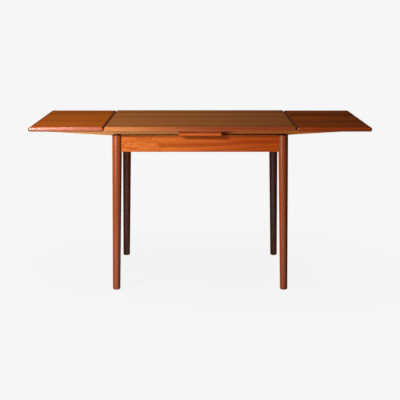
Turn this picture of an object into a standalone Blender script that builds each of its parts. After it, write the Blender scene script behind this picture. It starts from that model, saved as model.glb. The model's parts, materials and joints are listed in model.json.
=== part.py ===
"""Teak extending table of the draw-leaf kind, shown with both leaves drawn out.

Metres, +Z up. The origin is on the floor under the middle of the table. X runs along the table
from the left leaf to the right leaf, and Y runs from the front to the back.

A leaf is stored under the main top, beside the fixed centre board. Its two runners slope, so the
leaf climbs to the level of the top as it is drawn out. Their tails run in grooves under the centre
board. The top itself is loose: it rests on that board and is kept in place by two pins.
"""
import math

import bmesh
import bpy
from mathutils import Matrix, Vector

# Boards
TABLE_HEIGHT = 0.730
TOP_LENGTH = 0.830
TOP_DEPTH = 0.830
TOP_THICKNESS = 0.019
LEAF_LENGTH = 0.326
LEAF_THICKNESS = 0.019
LIPPING_WIDTH = 0.012
TOP_EDGE_RADIUS = 0.004
LEAF_EDGE_RADIUS = 0.009
TOP_END_RADIUS = 0.008
JOINT_GAP = 0.003
LEAF_STEP = 0.001
BAY_CLEARANCE = 0.0008
CENTRE_BOARD_WIDTH = 0.185
CENTRE_BOARD_SETBACK = 0.020
BOARD_CLEARANCE = 0.001
BOARD_GROOVE_DEPTH = 0.012

# Frame
LEG_TOP_DIAMETER = 0.043
LEG_FOOT_DIAMETER = 0.033
LEG_FOOT_ROUND = 0.007
LEG_TOP_ROUND = 0.0015
LEG_INSET_X = 0.052
LEG_INSET_Y = 0.0615
LEG_SPLAY_DEGREES = 0.78
APRON_HEIGHT = 0.074
APRON_THICKNESS = 0.020
END_RAIL_HEIGHT = 0.074
END_RAIL_THICKNESS = 0.020
TENON_THICKNESS = 0.008
TENON_SHOULDER = 0.010
TENON_STOP = 0.006
TENON_ROOT = 0.012
GUIDE_RAIL_WIDTH = 0.045
GUIDE_RAIL_HEIGHT = 0.050
CORNER_BLOCK_LEG = 0.065
CORNER_BLOCK_HEIGHT = 0.018
CORNER_BLOCK_LIFT = 0.001
ARRIS = 0.0015

# Runners, stops and pins
RUNNER_WIDTH = 0.022
RUNNER_DEPTH = 0.034
RUNNER_SETBACK = 0.024
RUNNER_ARRIS = 0.001
LANE_CLEARANCE = 0.0025
LANE_GAP = 0.001
NOTCH_SIDE = 0.0005
TAIL_CLEARANCE = 0.0065
PEG_DIAMETER = 0.008
PEG_DROP = 0.006
PEG_DEPTH = 0.014
PEG_SETBACK = 0.020
STOP_LENGTH = 0.024
STOP_HEIGHT = 0.016
STOP_CLEARANCE = 0.001
PIN_DIAMETER = 0.015
PIN_SPACING = 0.300
PIN_DROP = 0.075
PIN_BORE_DEPTH = 0.010
PIN_HOLE_CLEARANCE = 0.0006
PIN_CHAMFER = 0.002

# Screws
SCREW_HEAD_DIAMETER = 0.008
SCREW_SHANK_DIAMETER = 0.004
SCREW_HEAD_HEIGHT = 0.0025
SCREW_SINK = 0.001
SCREW_BITE = 0.013
RUNNER_SCREW_LENGTH = 0.018
RUNNER_SCREW_FIRST = 0.075
RUNNER_SCREW_LAST = 0.035
BOARD_SCREW_SPACING = 0.120
LEG_BOLT_SINK = 0.002
LEG_BOLT_BITE = 0.011

# Clearances and smoothness of round shapes
FIT = 0.0003
MITRE_GAP = 0.75 * FIT
CUT_MARGIN = 0.015
MERGE = 0.00001
LEG_STEPS = 32
ROUND_STEPS = 16
SCREW_STEPS = 10
ARC_STEPS = 6
EDGE_SEGMENTS = 4
ARRIS_SEGMENTS = 2

# Heights and places worked out from the sizes above
TOP_UNDERSIDE = TABLE_HEIGHT - TOP_THICKNESS
BAY_HEIGHT = LEAF_THICKNESS + 2 * BAY_CLEARANCE
FRAME_TOP = TOP_UNDERSIDE - BAY_HEIGHT
GROOVE_ROOF = FRAME_TOP + BOARD_GROOVE_DEPTH
LEAF_TOP = TABLE_HEIGHT - LEAF_STEP
LEAF_UNDERSIDE = LEAF_TOP - LEAF_THICKNESS
LEAF_INNER = TOP_LENGTH / 2 + JOINT_GAP
LEAF_OUTER = LEAF_INNER + LEAF_LENGTH
LEG_X = TOP_LENGTH / 2 - LEG_INSET_X
LEG_Y = TOP_DEPTH / 2 - LEG_INSET_Y
LEG_SPLAY = math.tan(math.radians(LEG_SPLAY_DEGREES))
APRON_INNER_Y = LEG_Y - APRON_THICKNESS / 2
END_RAIL_INNER_X = LEG_X - END_RAIL_THICKNESS / 2
CORNER_BLOCK_MIDDLE = FRAME_TOP - APRON_HEIGHT + CORNER_BLOCK_LIFT + CORNER_BLOCK_HEIGHT / 2

# The slide of a leaf: how far it goes in, and how far it comes down meanwhile
SLIDE_RUN = LEAF_INNER - CENTRE_BOARD_WIDTH / 2 - BOARD_CLEARANCE
SLIDE_DROP = LEAF_UNDERSIDE - (FRAME_TOP + BAY_CLEARANCE)
SLIDE_SLOPE = SLIDE_DROP / SLIDE_RUN

# Two lanes for the runners lie side by side inside the legs, the left leaf's next to the apron
LANE_START = LEG_Y - LEG_TOP_DIAMETER / 2 - LANE_CLEARANCE
LEFT_LANE = LANE_START - RUNNER_WIDTH / 2
RIGHT_LANE = LEFT_LANE - RUNNER_WIDTH - LANE_GAP
GUIDE_FACE_Y = RIGHT_LANE - RUNNER_WIDTH / 2 - LANE_GAP
GUIDE_Y = GUIDE_FACE_Y - GUIDE_RAIL_WIDTH / 2

# Places along a runner, measured outwards from the middle of the table with the leaf drawn out
RUNNER_SEAT = LEAF_UNDERSIDE - FIT
RUNNER_END = LEAF_OUTER - RUNNER_SETBACK
RUNNER_TIP = SLIDE_RUN - (END_RAIL_INNER_X - TAIL_CLEARANCE)
PEG_PLACE = RUNNER_TIP + PEG_SETBACK
STOP_PLACE = PEG_PLACE + PEG_DIAMETER / 2 + FIT

LEFT = -1
RIGHT = 1
FRONT = -1
BACK = 1
UPRIGHT = (math.pi / 2, 0.0, 0.0)
SIDE_NAMES = {LEFT: "left", RIGHT: "right"}
END_NAMES = {FRONT: "front", BACK: "back"}
LANES = {LEFT: LEFT_LANE, RIGHT: RIGHT_LANE}


def clear_scene():
    """Remove what the file opened with."""
    for obj in list(bpy.data.objects):
        bpy.data.objects.remove(obj)


def make_collection(name):
    collection = bpy.data.collections.new(name)
    bpy.context.scene.collection.children.link(collection)
    return collection


clear_scene()
PARTS = make_collection("extending_table")
CUTTERS = make_collection("cutters")


def make_material(name, colour, roughness, metallic=0.0):
    material = bpy.data.materials.new(name)
    material.use_nodes = True
    shader = material.node_tree.nodes["Principled BSDF"]
    shader.inputs["Base Color"].default_value = (*colour, 1.0)
    shader.inputs["Roughness"].default_value = roughness
    shader.inputs["Metallic"].default_value = metallic
    return material


VENEER = make_material("teak_veneer", (0.24, 0.085, 0.025), 0.38)
LIPPING = make_material("teak_lipping", (0.34, 0.115, 0.035), 0.40)
FRAME_TEAK = make_material("teak_frame", (0.38, 0.11, 0.028), 0.42)
LEG_TEAK = make_material("teak_leg", (0.26, 0.075, 0.025), 0.32)
BEECH = make_material("beech", (0.52, 0.32, 0.15), 0.55)
STEEL = make_material("screw_steel", (0.55, 0.54, 0.52), 0.35, 1.0)


def make_body(name, place):
    """Empty that carries the pieces which move together, on the line of their slide."""
    empty = bpy.data.objects.new(name, None)
    empty.location = place
    PARTS.objects.link(empty)
    return empty


FRAME = make_body("frame_body", (0.0, 0.0, 0.0))
TOP = make_body("top_body", (0.0, 0.0, TABLE_HEIGHT))
LEAVES = {
    LEFT: make_body("left_leaf_body", (LEFT * LEAF_INNER, 0.0, LEAF_UNDERSIDE)),
    RIGHT: make_body("right_leaf_body", (RIGHT * LEAF_INNER, 0.0, LEAF_UNDERSIDE)),
}


def new_object(name, data):
    obj = bpy.data.objects.new(name, data)
    PARTS.objects.link(obj)
    return obj


def finish(obj, body, material):
    """Give a piece its material and hang it on the body that it moves with."""
    obj.data.materials.clear()
    obj.data.materials.append(material)
    obj.parent = body
    obj.matrix_parent_inverse = Matrix.Translation(body.location).inverted()
    return obj


def as_cutter(obj):
    """Set a shape aside that only cuts or joins others."""
    PARTS.objects.unlink(obj)
    CUTTERS.objects.link(obj)
    obj.hide_render = True
    obj.display_type = "WIRE"
    return obj


def boolean(target, other, operation):
    modifier = target.modifiers.new(operation.title(), "BOOLEAN")
    modifier.operation = operation
    modifier.solver = "EXACT"
    modifier.object = other


def cut(target, *cutters):
    for cutter in cutters:
        boolean(target, cutter, "DIFFERENCE")


def round_edges(obj, radius, segments):
    bevel = obj.modifiers.new("Rounded edges", "BEVEL")
    bevel.width = radius
    bevel.segments = segments
    bevel.limit_method = "ANGLE"


def ease_ends(obj, radius):
    """Round the lower edges at the two ends of a board, where a leaf first meets it."""
    weights = obj.data.attributes.new("bevel_weight_edge", "FLOAT", "EDGE")
    for edge, weight in zip(obj.data.edges, weights.data):
        start, end = [obj.data.vertices[index].co for index in edge.vertices]
        weight.value = float(start.x == end.x and start.z < 0.0 and end.z < 0.0)
    bevel = obj.modifiers.new("Eased ends", "BEVEL")
    bevel.width = radius
    bevel.segments = ARC_STEPS
    bevel.limit_method = "WEIGHT"


def box(name, low, high):
    """Box between its lowest and highest corners."""
    low = Vector(low)
    high = Vector(high)
    mesh = bpy.data.meshes.new(name)
    shape = bmesh.new()
    bmesh.ops.create_cube(shape, size=1.0)
    bmesh.ops.scale(shape, vec=high - low, verts=shape.verts)
    shape.to_mesh(mesh)
    shape.free()
    obj = new_object(name, mesh)
    obj.location = (low + high) / 2
    return obj


def mirrored_box(name, x_side, y_side, low, high):
    """Box given in the right back quarter of the table, placed in any quarter."""
    xs = sorted((x_side * low[0], x_side * high[0]))
    ys = sorted((y_side * low[1], y_side * high[1]))
    return box(name, (xs[0], ys[0], low[2]), (xs[1], ys[1], high[2]))


def evaluated_mesh(obj):
    bpy.context.view_layer.update()
    depsgraph = bpy.context.evaluated_depsgraph_get()
    return bpy.data.meshes.new_from_object(obj.evaluated_get(depsgraph))


def plate(name, outline, thickness, centre, rotation=(0.0, 0.0, 0.0)):
    """Flat outline given a thickness, half of it on each side of its plane."""
    curve = bpy.data.curves.new(name, "CURVE")
    curve.dimensions = "2D"
    curve.fill_mode = "BOTH"
    curve.extrude = thickness / 2
    spline = curve.splines.new("POLY")
    spline.points.add(len(outline) - 1)
    for point, (across, along) in zip(spline.points, outline):
        point.co = (across, along, 0.0, 1.0)
    spline.use_cyclic_u = True
    flat = new_object(name + "_outline", curve)
    flat.location = centre
    flat.rotation_euler = rotation
    mesh = evaluated_mesh(flat)
    shape = bmesh.new()
    shape.from_mesh(mesh)
    bmesh.ops.remove_doubles(shape, verts=shape.verts, dist=MERGE)
    bmesh.ops.recalc_face_normals(shape, faces=shape.faces)
    shape.to_mesh(mesh)
    shape.free()
    solid = new_object(name, mesh)
    solid.matrix_world = flat.matrix_world
    bpy.data.objects.remove(flat)
    bpy.data.curves.remove(curve)
    return solid


def turned(name, profile, place, steps):
    """Solid turned round an upright axis, from (radius, height) points that run downwards."""
    mesh = bpy.data.meshes.new(name)
    points = [(radius, 0.0, height) for radius, height in profile]
    edges = [(index, index + 1) for index in range(len(points) - 1)]
    mesh.from_pydata(points, edges, [])
    obj = new_object(name, mesh)
    obj.location = place
    spin = obj.modifiers.new("Turned", "SCREW")
    spin.axis = "Z"
    spin.angle = 2 * math.pi
    spin.steps = steps
    spin.render_steps = steps
    spin.use_merge_vertices = True
    spin.merge_threshold = MERGE
    spin.use_smooth_shade = True
    return obj


def bake(obj):
    """Turn an object and its modifiers into a plain mesh."""
    mesh = evaluated_mesh(obj)
    obj.modifiers.clear()
    obj.data = mesh
    return obj


def arc(centre, radius, start, end):
    """Points on an arc, with the angles in degrees."""
    points = []
    for step in range(ARC_STEPS + 1):
        angle = math.radians(start + (end - start) * step / ARC_STEPS)
        points.append((centre[0] + radius * math.cos(angle), centre[1] + radius * math.sin(angle)))
    return points


def mitred_outline(half_along, half_across):
    """Plan of a lipping on the far side of a board, with its ends mitred."""
    inner = half_across - LIPPING_WIDTH
    outer = half_across + CUT_MARGIN
    inner_end = half_along - LIPPING_WIDTH - MITRE_GAP
    outer_end = half_along + CUT_MARGIN - MITRE_GAP
    return [(-inner_end, inner), (inner_end, inner), (outer_end, outer), (-outer_end, outer)]


def edged_board(prefix, low, high, turns, body, radius, end_radius=0.0):
    """Board with a veneered core and a mitred, rounded lipping on each side.

    turns gives the name of each side and the angle that brings the far side of the board to it.
    """
    low = Vector(low)
    high = Vector(high)
    half = (high - low) / 2
    middle = (low + high) / 2
    inset = Vector((LIPPING_WIDTH + FIT, LIPPING_WIDTH + FIT, 0.0))
    panel = box(prefix + "_panel", low + inset, high - inset)
    finish(panel, body, VENEER)
    for side, angle in turns.items():
        name = f"{prefix}_{side}_lipping"
        lipping = box(name, low, high)
        if end_radius:
            ease_ends(lipping, end_radius)
        round_edges(lipping, radius, EDGE_SEGMENTS)
        lengthwise = side in ("front", "back")
        outline = mitred_outline(half.x, half.y) if lengthwise else mitred_outline(half.y, half.x)
        height = 2 * half.z + 2 * CUT_MARGIN
        wedge = as_cutter(plate(name + "_mitres", outline, height, middle, (0.0, 0.0, angle)))
        boolean(lipping, wedge, "INTERSECT")
        finish(lipping, body, LIPPING)
    return panel


def screw(name, head_point, direction, length, counterbore, body):
    """Countersunk screw driven from its head point, and the cutter for its hole."""
    head = SCREW_HEAD_DIAMETER / 2
    shank = SCREW_SHANK_DIAMETER / 2
    bored = length + FIT
    outline = [(0.0, 0.0), (head, 0.0), (shank, -SCREW_HEAD_HEIGHT), (shank, -length), (0.0, -length)]
    hole_outline = [(0.0, counterbore), (head + FIT, counterbore), (head + FIT, 0.0),
                    (shank + FIT, -SCREW_HEAD_HEIGHT), (shank + FIT, -bored), (0.0, -bored)]
    turn = Vector((0.0, 0.0, -1.0)).rotation_difference(Vector(direction)).to_euler()
    driven = turned(name, outline, head_point, SCREW_STEPS)
    hole = as_cutter(turned(name + "_hole", hole_outline, head_point, SCREW_STEPS))
    driven.rotation_euler = turn
    hole.rotation_euler = turn
    finish(driven, body, STEEL)
    return hole


def corner_name(x_side, y_side):
    return f"{END_NAMES[y_side]}_{SIDE_NAMES[x_side]}"


def leg_radius(height):
    """Radius of the straight taper of a leg."""
    foot = LEG_FOOT_DIAMETER / 2
    return foot + (LEG_TOP_DIAMETER / 2 - foot) * height / FRAME_TOP


def splayed(obj, x_side, y_side):
    """Lean a turned leg outwards below the frame's top, with its foot still level."""
    lean = Matrix.Identity(4)
    lean[0][2] = -x_side * LEG_SPLAY
    lean[1][2] = -y_side * LEG_SPLAY
    lean[0][3] = x_side * LEG_SPLAY * FRAME_TOP
    lean[1][3] = y_side * LEG_SPLAY * FRAME_TOP
    bake(obj).data.transform(lean)
    return obj


def make_leg(x_side, y_side):
    """Round tapered leg with a rounded foot, and the cutter that fits other pieces to it."""
    name = "leg_" + corner_name(x_side, y_side)
    place = (x_side * LEG_X, y_side * LEG_Y, 0.0)
    top = leg_radius(FRAME_TOP)
    foot = leg_radius(LEG_FOOT_ROUND)
    profile = [(0.0, FRAME_TOP), (top - LEG_TOP_ROUND, FRAME_TOP), (top, FRAME_TOP - LEG_TOP_ROUND)]
    profile += arc((foot - LEG_FOOT_ROUND, LEG_FOOT_ROUND), LEG_FOOT_ROUND, 0.0, -90.0)
    profile.append((0.0, 0.0))
    leg = splayed(turned(name, profile, place, LEG_STEPS), x_side, y_side)
    high = FRAME_TOP + CUT_MARGIN
    low = FRAME_TOP - max(APRON_HEIGHT, END_RAIL_HEIGHT) - CUT_MARGIN
    fit_profile = [(0.0, high), (leg_radius(high) + FIT, high), (leg_radius(low) + FIT, low), (0.0, low)]
    cope = as_cutter(splayed(turned(name + "_cope", fit_profile, place, LEG_STEPS), x_side, y_side))
    finish(leg, FRAME, LEG_TEAK)
    return leg, cope


def make_tenon(name, x_side, y_side, along_x, grow, height):
    """Tenon of an apron or an end rail, or its mortise where it is grown by the fit."""
    root = LEG_TOP_DIAMETER / 2 + TENON_ROOT
    half = TENON_THICKNESS / 2 + grow
    low_z = FRAME_TOP - height + TENON_SHOULDER - grow
    high_z = FRAME_TOP - TENON_SHOULDER + grow
    if along_x:
        low = (LEG_X - root, LEG_Y - half, low_z)
        high = (LEG_X - TENON_STOP + grow, LEG_Y + half, high_z)
    else:
        low = (LEG_X - half, LEG_Y - root, low_z)
        high = (LEG_X + half, LEG_Y - TENON_STOP + grow, high_z)
    return as_cutter(mirrored_box(name, x_side, y_side, low, high))


def make_leg_bolt(x_side, y_side):
    """Screw through a corner block into the leg, along the diagonal between its two tenons."""
    head_x = END_RAIL_INNER_X - CORNER_BLOCK_LEG / 2 + LEG_BOLT_SINK
    head_y = APRON_INNER_Y - CORNER_BLOCK_LEG / 2 + LEG_BOLT_SINK
    reach = math.hypot(LEG_X - head_x, LEG_Y - head_y)
    length = reach - LEG_TOP_DIAMETER / 2 + LEG_BOLT_BITE
    name = "leg_bolt_" + corner_name(x_side, y_side)
    head = (x_side * head_x, y_side * head_y, CORNER_BLOCK_MIDDLE)
    return screw(name, head, (x_side, y_side, 0.0), length, CORNER_BLOCK_LEG, FRAME)


def make_corner(x_side, y_side):
    """Leg, corner block and bolt of one corner. Gives the cutter that fits rails to the leg."""
    leg, cope = make_leg(x_side, y_side)
    for along_x, height in ((True, APRON_HEIGHT), (False, END_RAIL_HEIGHT)):
        rail = "apron" if along_x else "end_rail"
        cut(leg, make_tenon(f"{leg.name}_{rail}_mortise", x_side, y_side, along_x, FIT, height))
    x = END_RAIL_INNER_X - FIT
    y = APRON_INNER_Y - FIT
    corners = [(x, y), (x - CORNER_BLOCK_LEG, y), (x, y - CORNER_BLOCK_LEG)]
    outline = [(x_side * across, y_side * along) for across, along in corners]
    name = "corner_block_" + corner_name(x_side, y_side)
    block = plate(name, outline, CORNER_BLOCK_HEIGHT, (0.0, 0.0, CORNER_BLOCK_MIDDLE))
    bolt_hole = make_leg_bolt(x_side, y_side)
    cut(leg, bolt_hole)
    cut(block, cope, bolt_hole)
    finish(block, FRAME, BEECH)
    return cope


def make_aprons(copes, board_holes):
    """Long rails under the front and back of the top, coped and tenoned to the legs."""
    for y_side in (FRONT, BACK):
        name = END_NAMES[y_side] + "_apron"
        low = (-LEG_X, y_side * LEG_Y - APRON_THICKNESS / 2, FRAME_TOP - APRON_HEIGHT)
        high = (LEG_X, y_side * LEG_Y + APRON_THICKNESS / 2, FRAME_TOP)
        apron = box(name, low, high)
        round_edges(apron, ARRIS, ARRIS_SEGMENTS)
        for x_side in (LEFT, RIGHT):
            cut(apron, copes[x_side, y_side])
            tenon_name = f"{name}_{SIDE_NAMES[x_side]}_tenon"
            tenon = make_tenon(tenon_name, x_side, y_side, True, 0.0, APRON_HEIGHT)
            boolean(apron, tenon, "UNION")
            cut(apron, board_holes[x_side, y_side])
        finish(apron, FRAME, FRAME_TEAK)


def runner_top(place):
    """Height of the upper edge of a runner's tail, which slides along itself."""
    return GROOVE_ROOF - FIT + SLIDE_SLOPE * (place - CENTRE_BOARD_WIDTH / 2)


def runner_bottom(place):
    return runner_top(place) - RUNNER_DEPTH


def make_end_rails(copes):
    """Short rails at the ends, notched where the runners of their own leaf pass."""
    inner = END_RAIL_INNER_X
    outer = END_RAIL_INNER_X + END_RAIL_THICKNESS
    start = inner - CUT_MARGIN
    stop = outer + CUT_MARGIN
    above = FRAME_TOP + CUT_MARGIN
    for x_side in (LEFT, RIGHT):
        name = SIDE_NAMES[x_side] + "_end_rail"
        xs = sorted((x_side * inner, x_side * outer))
        rail = box(name, (xs[0], -LEG_Y, FRAME_TOP - END_RAIL_HEIGHT), (xs[1], LEG_Y, FRAME_TOP))
        round_edges(rail, ARRIS, ARRIS_SEGMENTS)
        outline = [(x_side * start, runner_bottom(start) - FIT), (x_side * stop, runner_bottom(stop) - FIT),
                   (x_side * stop, above), (x_side * start, above)]
        for y_side in (FRONT, BACK):
            cut(rail, copes[x_side, y_side])
            tenon_name = f"{name}_{END_NAMES[y_side]}_tenon"
            tenon = make_tenon(tenon_name, x_side, y_side, False, 0.0, END_RAIL_HEIGHT)
            boolean(rail, tenon, "UNION")
            notch_name = f"{name}_{END_NAMES[y_side]}_notch"
            lane = (0.0, y_side * LANES[x_side], 0.0)
            notch = plate(notch_name, outline, RUNNER_WIDTH + 2 * NOTCH_SIDE, lane, UPRIGHT)
            cut(rail, as_cutter(notch))
        finish(rail, FRAME, FRAME_TEAK)


def make_guide_rails():
    """Light wood rails inside the frame, beside the runners and under the centre board."""
    reach = END_RAIL_INNER_X - FIT
    for y_side in (FRONT, BACK):
        low = (-reach, y_side * GUIDE_Y - GUIDE_RAIL_WIDTH / 2, FRAME_TOP - GUIDE_RAIL_HEIGHT)
        high = (reach, y_side * GUIDE_Y + GUIDE_RAIL_WIDTH / 2, FRAME_TOP)
        rail = box(END_NAMES[y_side] + "_guide_rail", low, high)
        round_edges(rail, ARRIS, ARRIS_SEGMENTS)
        finish(rail, FRAME, BEECH)


def make_centre_board_screw(x_side, y_side):
    """Screw through the centre board into an apron."""
    head = (x_side * BOARD_SCREW_SPACING / 2, y_side * LEG_Y, TOP_UNDERSIDE - FIT - SCREW_SINK)
    name = "centre_board_screw_" + corner_name(x_side, y_side)
    return screw(name, head, (0.0, 0.0, -1.0), BAY_HEIGHT + SCREW_BITE, CUT_MARGIN, FRAME)


def make_centre_board(board_holes):
    """Fixed board between the stored leaves, grooved over the runners, which carries the top."""
    half_width = CENTRE_BOARD_WIDTH / 2
    half_depth = TOP_DEPTH / 2 - CENTRE_BOARD_SETBACK
    board = box("centre_board", (-half_width, -half_depth, FRAME_TOP + FIT),
                (half_width, half_depth, TOP_UNDERSIDE - FIT))
    round_edges(board, ARRIS, ARRIS_SEGMENTS)
    radius = PIN_DIAMETER / 2 + PIN_HOLE_CLEARANCE
    above = BAY_HEIGHT + CUT_MARGIN
    hole = [(0.0, above), (radius, above), (radius, -CUT_MARGIN), (0.0, -CUT_MARGIN)]
    groove_start = RIGHT_LANE - RUNNER_WIDTH / 2 - NOTCH_SIDE
    groove_stop = LEFT_LANE + RUNNER_WIDTH / 2 + NOTCH_SIDE
    groove_low = (-half_width - CUT_MARGIN, groove_start, FRAME_TOP - CUT_MARGIN)
    groove_high = (half_width + CUT_MARGIN, groove_stop, GROOVE_ROOF)
    for y_side in (FRONT, BACK):
        end = END_NAMES[y_side]
        place = (0.0, y_side * PIN_SPACING / 2, FRAME_TOP)
        cut(board, as_cutter(turned(f"pin_hole_{end}", hole, place, ROUND_STEPS)))
        cut(board, as_cutter(mirrored_box(f"runner_groove_{end}", RIGHT, y_side, groove_low, groove_high)))
    cut(board, *board_holes.values())
    finish(board, FRAME, FRAME_TEAK)


def make_stop_blocks():
    """Blocks that a drawn leaf's pegs meet, each in the lane of its own leaf."""
    top = runner_bottom(STOP_PLACE) - STOP_CLEARANCE
    spans = {
        LEFT: (LEFT_LANE - RUNNER_WIDTH / 2, APRON_INNER_Y - FIT),
        RIGHT: (GUIDE_FACE_Y + FIT, RIGHT_LANE + RUNNER_WIDTH / 2),
    }
    for x_side, (near, far) in spans.items():
        for y_side in (FRONT, BACK):
            name = f"{SIDE_NAMES[x_side]}_leaf_stop_block_{END_NAMES[y_side]}"
            low = (STOP_PLACE, near, top - STOP_HEIGHT)
            high = (STOP_PLACE + STOP_LENGTH, far, top)
            finish(mirrored_box(name, x_side, y_side, low, high), FRAME, BEECH)


def make_top():
    """Main top with its lippings, and the two pins that drop through the centre board."""
    half_length = TOP_LENGTH / 2
    half_depth = TOP_DEPTH / 2
    turns = {"back": 0.0, "left": math.pi / 2, "front": math.pi, "right": -math.pi / 2}
    panel = edged_board("top", (-half_length, -half_depth, TOP_UNDERSIDE),
                        (half_length, half_depth, TABLE_HEIGHT), turns, TOP, TOP_EDGE_RADIUS, TOP_END_RADIUS)
    radius = PIN_DIAMETER / 2
    bore = radius + FIT
    bore_outline = [(0.0, PIN_BORE_DEPTH + FIT), (bore, PIN_BORE_DEPTH + FIT), (bore, -CUT_MARGIN),
                    (0.0, -CUT_MARGIN)]
    pin_outline = [(0.0, PIN_BORE_DEPTH), (radius, PIN_BORE_DEPTH), (radius, PIN_CHAMFER - PIN_DROP),
                   (radius - PIN_CHAMFER, -PIN_DROP), (0.0, -PIN_DROP)]
    for y_side in (FRONT, BACK):
        end = END_NAMES[y_side]
        place = (0.0, y_side * PIN_SPACING / 2, TOP_UNDERSIDE)
        cut(panel, as_cutter(turned(f"pin_bore_{end}", bore_outline, place, ROUND_STEPS)))
        finish(turned(f"guide_pin_{end}", pin_outline, place, ROUND_STEPS), TOP, BEECH)


def runner_outline(x_side):
    """Side view of a runner: level under its leaf, with a tail along the line of the slide."""
    bend = CENTRE_BOARD_WIDTH / 2 + (RUNNER_SEAT - GROOVE_ROOF + FIT) / SLIDE_SLOPE
    points = [(RUNNER_END, RUNNER_SEAT), (bend, RUNNER_SEAT), (RUNNER_TIP, runner_top(RUNNER_TIP)),
              (RUNNER_TIP, runner_bottom(RUNNER_TIP)), (RUNNER_END, runner_bottom(RUNNER_END))]
    return [(x_side * place, height) for place, height in points]


def make_runner_screws(x_side, runner, lane, body):
    """Screws driven up through a runner into its leaf, sunk clear of the sliding face."""
    head = LEAF_UNDERSIDE + SCREW_BITE - RUNNER_SCREW_LENGTH
    places = {"inner": LEAF_INNER + RUNNER_SCREW_FIRST, "outer": RUNNER_END - RUNNER_SCREW_LAST}
    holes = []
    for name, place in places.items():
        holes.append(screw(f"{runner}_screw_{name}", (x_side * place, lane, head), (0.0, 0.0, 1.0),
                           RUNNER_SCREW_LENGTH, RUNNER_DEPTH, body))
    return holes


def make_leaf(x_side):
    """Leaf with its lippings, runners, screws and stop pegs."""
    body = LEAVES[x_side]
    leaf = SIDE_NAMES[x_side] + "_leaf"
    xs = sorted((x_side * LEAF_INNER, x_side * LEAF_OUTER))
    half_depth = TOP_DEPTH / 2
    turns = {"back": 0.0, "front": math.pi, "outer": -x_side * math.pi / 2, "inner": x_side * math.pi / 2}
    low = (xs[0], -half_depth, LEAF_UNDERSIDE)
    high = (xs[1], half_depth, LEAF_TOP)
    panel = edged_board(leaf, low, high, turns, body, LEAF_EDGE_RADIUS)
    radius = PEG_DIAMETER / 2
    bore = radius + FIT
    peg_outline = [(0.0, PEG_DEPTH), (radius, PEG_DEPTH), (radius, -PEG_DROP), (0.0, -PEG_DROP)]
    bore_outline = [(0.0, PEG_DEPTH + FIT), (bore, PEG_DEPTH + FIT), (bore, -CUT_MARGIN), (0.0, -CUT_MARGIN)]
    for y_side in (FRONT, BACK):
        end = END_NAMES[y_side]
        name = f"{leaf}_runner_{end}"
        lane = y_side * LANES[x_side]
        runner = plate(name, runner_outline(x_side), RUNNER_WIDTH, (0.0, lane, 0.0), UPRIGHT)
        round_edges(runner, RUNNER_ARRIS, ARRIS_SEGMENTS)
        holes = make_runner_screws(x_side, name, lane, body)
        cut(panel, *holes)
        place = (x_side * PEG_PLACE, lane, runner_bottom(PEG_PLACE))
        cut(runner, *holes, as_cutter(turned(name + "_peg_bore", bore_outline, place, ROUND_STEPS)))
        finish(runner, body, BEECH)
        finish(turned(f"{leaf}_stop_peg_{end}", peg_outline, place, ROUND_STEPS), body, BEECH)


def build_table():
    corners = [(x_side, y_side) for x_side in (LEFT, RIGHT) for y_side in (FRONT, BACK)]
    copes = {corner: make_corner(*corner) for corner in corners}
    board_holes = {corner: make_centre_board_screw(*corner) for corner in corners}
    make_aprons(copes, board_holes)
    make_end_rails(copes)
    make_guide_rails()
    make_centre_board(board_holes)
    make_stop_blocks()
    make_top()
    for x_side in (LEFT, RIGHT):
        make_leaf(x_side)


build_table()
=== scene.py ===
"""Looks of a teak draw-leaf table: its finished pieces, its woods, and a plain studio round it.

The file is laid out as an add-on. Each operator models one kind of piece in the place of its solid
in the frame. Metres, +Z up, with X from the left leaf to the right leaf and Y from front to back.
"""
import json
import math

import bmesh
import bpy
from mathutils import Matrix, Vector

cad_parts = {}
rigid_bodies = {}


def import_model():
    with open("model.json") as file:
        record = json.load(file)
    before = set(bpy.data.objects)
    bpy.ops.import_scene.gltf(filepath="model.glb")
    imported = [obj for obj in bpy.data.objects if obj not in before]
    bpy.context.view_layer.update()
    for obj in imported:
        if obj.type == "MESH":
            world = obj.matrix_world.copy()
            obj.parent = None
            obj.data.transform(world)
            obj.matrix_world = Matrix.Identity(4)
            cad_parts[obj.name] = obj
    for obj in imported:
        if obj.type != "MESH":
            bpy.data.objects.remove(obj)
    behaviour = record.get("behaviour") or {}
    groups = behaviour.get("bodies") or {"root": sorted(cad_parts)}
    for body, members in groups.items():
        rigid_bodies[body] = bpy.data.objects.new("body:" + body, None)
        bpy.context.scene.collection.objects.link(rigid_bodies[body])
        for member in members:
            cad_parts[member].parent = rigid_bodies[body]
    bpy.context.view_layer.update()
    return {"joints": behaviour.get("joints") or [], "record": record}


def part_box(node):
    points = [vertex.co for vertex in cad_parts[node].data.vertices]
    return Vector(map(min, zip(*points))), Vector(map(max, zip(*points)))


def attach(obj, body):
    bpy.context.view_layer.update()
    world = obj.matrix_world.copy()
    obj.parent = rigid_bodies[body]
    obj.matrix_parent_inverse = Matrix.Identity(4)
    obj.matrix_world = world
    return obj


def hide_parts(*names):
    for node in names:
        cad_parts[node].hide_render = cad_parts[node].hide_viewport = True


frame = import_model()

bl_info = {
    "name": "Draw-leaf table",
    "version": (1, 0, 0),
    "blender": (4, 5, 0),
    "location": "View3D > Sidebar > Table",
    "description": "Models and finishes the pieces of a teak draw-leaf table in a plain studio",
    "category": "Object",
}

IMAGE_SIDE = 400
SENSOR_WIDTH = 36.0

X_SIDES = {"left": -1, "right": 1}
Y_SIDES = {"front": -1, "back": 1}
CORNERS = [(x_name, y_name) for y_name in Y_SIDES for x_name in X_SIDES]
X_AXIS, Y_AXIS, Z_AXIS = range(3)
UP = Vector((0.0, 0.0, 1.0))
DOWN = Vector((0.0, 0.0, -1.0))

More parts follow.
